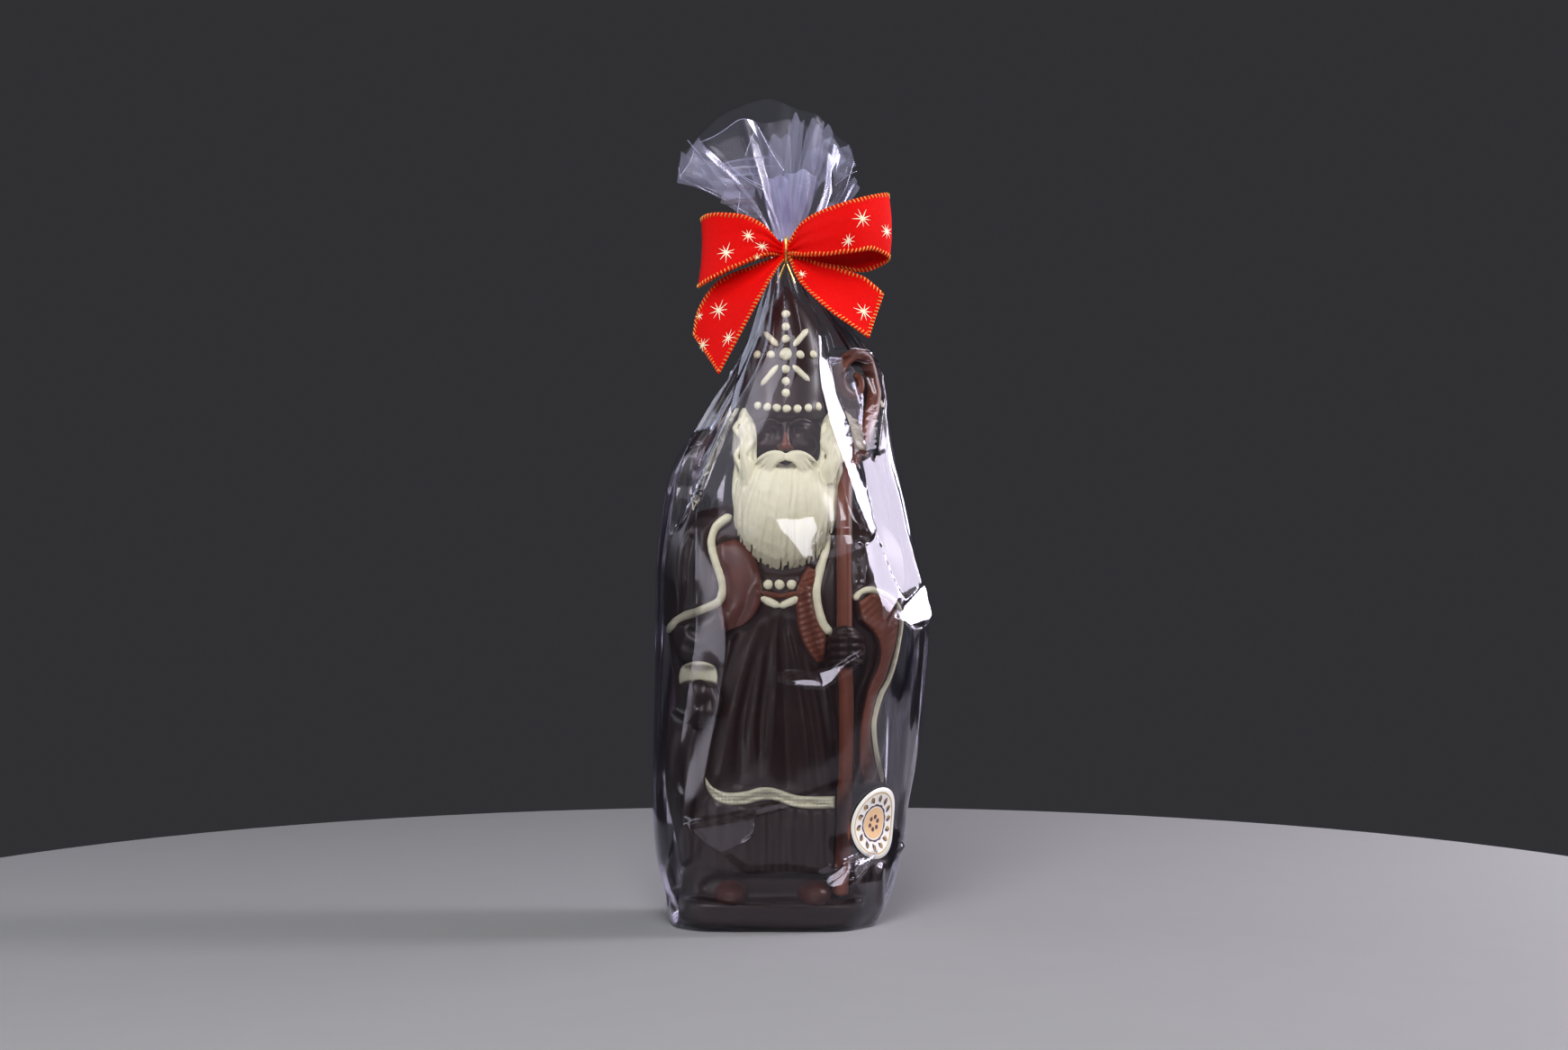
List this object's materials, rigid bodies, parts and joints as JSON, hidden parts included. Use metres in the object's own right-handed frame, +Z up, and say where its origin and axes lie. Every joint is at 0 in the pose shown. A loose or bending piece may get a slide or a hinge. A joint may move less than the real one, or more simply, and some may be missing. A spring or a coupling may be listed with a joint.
{
  "type": "chocolate bishop figure in a tied clear bag",
  "caption": "Moulded chocolate bishop figure standing in a clear block-bottom bag, its neck tied with a red ribbon bow and a round label on the film.",
  "frame": {"origin": "centre of the bounding box, on the surface that the bag stands on", "axes": "+Z up, -Y towards the viewer of the figure's front, +X to the viewer's right"},
  "size_m": [0.1116, 0.0762, 0.3286],
  "materials": {
    "film": "clear crackling film, high gloss",
    "dark_chocolate": "moulded dark chocolate, satin gloss",
    "milk_chocolate": "moulded milk chocolate, satin gloss",
    "white_chocolate": "moulded white chocolate, soft satin",
    "ribbon": "woven red ribbon with gold stitched edges and pale gold stars",
    "gold_thread": "gold thread",
    "gold_tie": "thin gold tie",
    "label": "printed gloss paper sticker"
  },
  "bodies": {
    "root": {"bag": "film", "ribbon_bow": "ribbon", "twist_tie": "gold_tie", "round_label": "label"}
  },
  "joints": []
}
